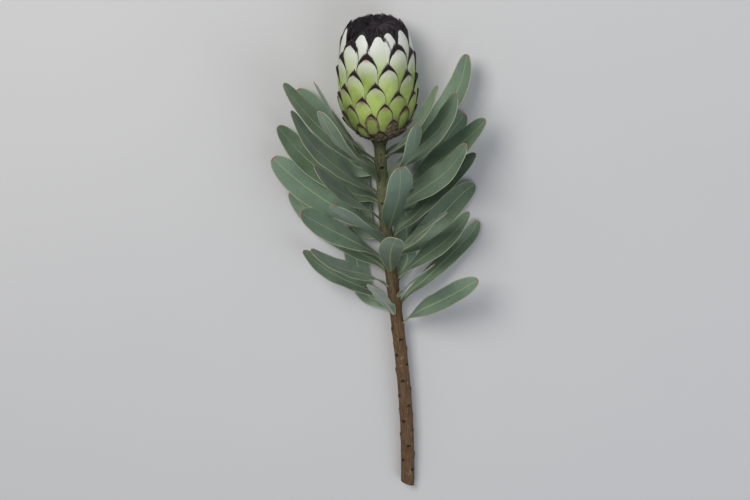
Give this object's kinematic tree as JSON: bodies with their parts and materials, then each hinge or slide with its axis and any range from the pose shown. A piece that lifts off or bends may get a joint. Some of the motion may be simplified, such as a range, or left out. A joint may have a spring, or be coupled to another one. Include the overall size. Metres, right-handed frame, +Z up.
{
  "type": "cut queen protea stem",
  "caption": "Cut protea stem lying down: closed egg-shaped bloom of pale bracts with a black bearded crown, on a woody stem with leathery grey-green leaves.",
  "frame": {"origin": "centre of the bounding box on the surface that the stem lies on", "axes": "+Z up, +Y along the stem from the cut end to the bloom, +X to the right of the stem seen from above with the bloom ahead"},
  "size_m": [0.2039, 0.4909, 0.1196],
  "materials": {
    "stem": "matt bark with leaf scars",
    "leaf_01": "leathery leaf with a waxy bloom",
    "leaf_02": "leathery leaf with a waxy bloom",
    "leaf_03": "leathery leaf with a waxy bloom",
    "leaf_04": "leathery leaf with a waxy bloom",
    "leaf_05": "leathery leaf with a waxy bloom",
    "leaf_06": "leathery leaf with a waxy bloom",
    "leaf_07": "leathery leaf with a waxy bloom",
    "leaf_08": "leathery leaf with a waxy bloom",
    "leaf_09": "leathery leaf with a waxy bloom",
    "leaf_10": "leathery leaf with a waxy bloom",
    "leaf_11": "leathery leaf with a waxy bloom",
    "leaf_12": "leathery leaf with a waxy bloom",
    "leaf_13": "leathery leaf with a waxy bloom",
    "leaf_14": "leathery leaf with a waxy bloom",
    "leaf_15": "leathery leaf with a waxy bloom",
    "leaf_16": "leathery leaf with a waxy bloom",
    "leaf_17": "leathery leaf with a waxy bloom",
    "leaf_18": "leathery leaf with a waxy bloom",
    "leaf_19": "leathery leaf with a waxy bloom",
    "leaf_20": "leathery leaf with a waxy bloom",
    "leaf_21": "leathery leaf with a waxy bloom",
    "leaf_22": "leathery leaf with a waxy bloom",
    "leaf_23": "leathery leaf with a waxy bloom",
    "leaf_24": "leathery leaf with a waxy bloom",
    "leaf_25": "leathery leaf with a waxy bloom",
    "leaf_26": "leathery leaf with a waxy bloom",
    "leaf_27": "leathery leaf with a waxy bloom",
    "leaf_28": "leathery leaf with a waxy bloom",
    "leaf_29": "leathery leaf with a waxy bloom",
    "leaf_30": "leathery leaf with a waxy bloom",
    "leaf_31": "leathery leaf with a waxy bloom",
    "leaf_32": "leathery leaf with a waxy bloom",
    "leaf_33": "leathery leaf with a waxy bloom",
    "receptacle": "matt brown scurfy scales",
    "bracts": "satin, lime green below and white above",
    "crown_beard": "black fur",
    "floret_tips": "dark silky hair"
  },
  "bodies": {
    "root": {"stem": "stem", "leaf_01": "leaf_01", "leaf_02": "leaf_02", "leaf_03": "leaf_03", "leaf_04": "leaf_04", "leaf_05": "leaf_05", "leaf_06": "leaf_06", "leaf_07": "leaf_07", "leaf_08": "leaf_08", "leaf_09": "leaf_09", "leaf_10": "leaf_10", "leaf_11": "leaf_11", "leaf_12": "leaf_12", "leaf_13": "leaf_13", "leaf_14": "leaf_14", "leaf_15": "leaf_15", "leaf_16": "leaf_16", "leaf_17": "leaf_17", "leaf_18": "leaf_18", "leaf_19": "leaf_19", "leaf_20": "leaf_20", "leaf_21": "leaf_21", "leaf_22": "leaf_22", "leaf_23": "leaf_23", "leaf_24": "leaf_24", "leaf_25": "leaf_25", "leaf_26": "leaf_26", "leaf_27": "leaf_27", "leaf_28": "leaf_28", "leaf_29": "leaf_29", "leaf_30": "leaf_30", "leaf_31": "leaf_31", "leaf_32": "leaf_32", "leaf_33": "leaf_33", "receptacle": "receptacle", "bracts": "bracts", "crown_beard": "crown_beard", "floret_tips": "floret_tips"}
  },
  "joints": []
}
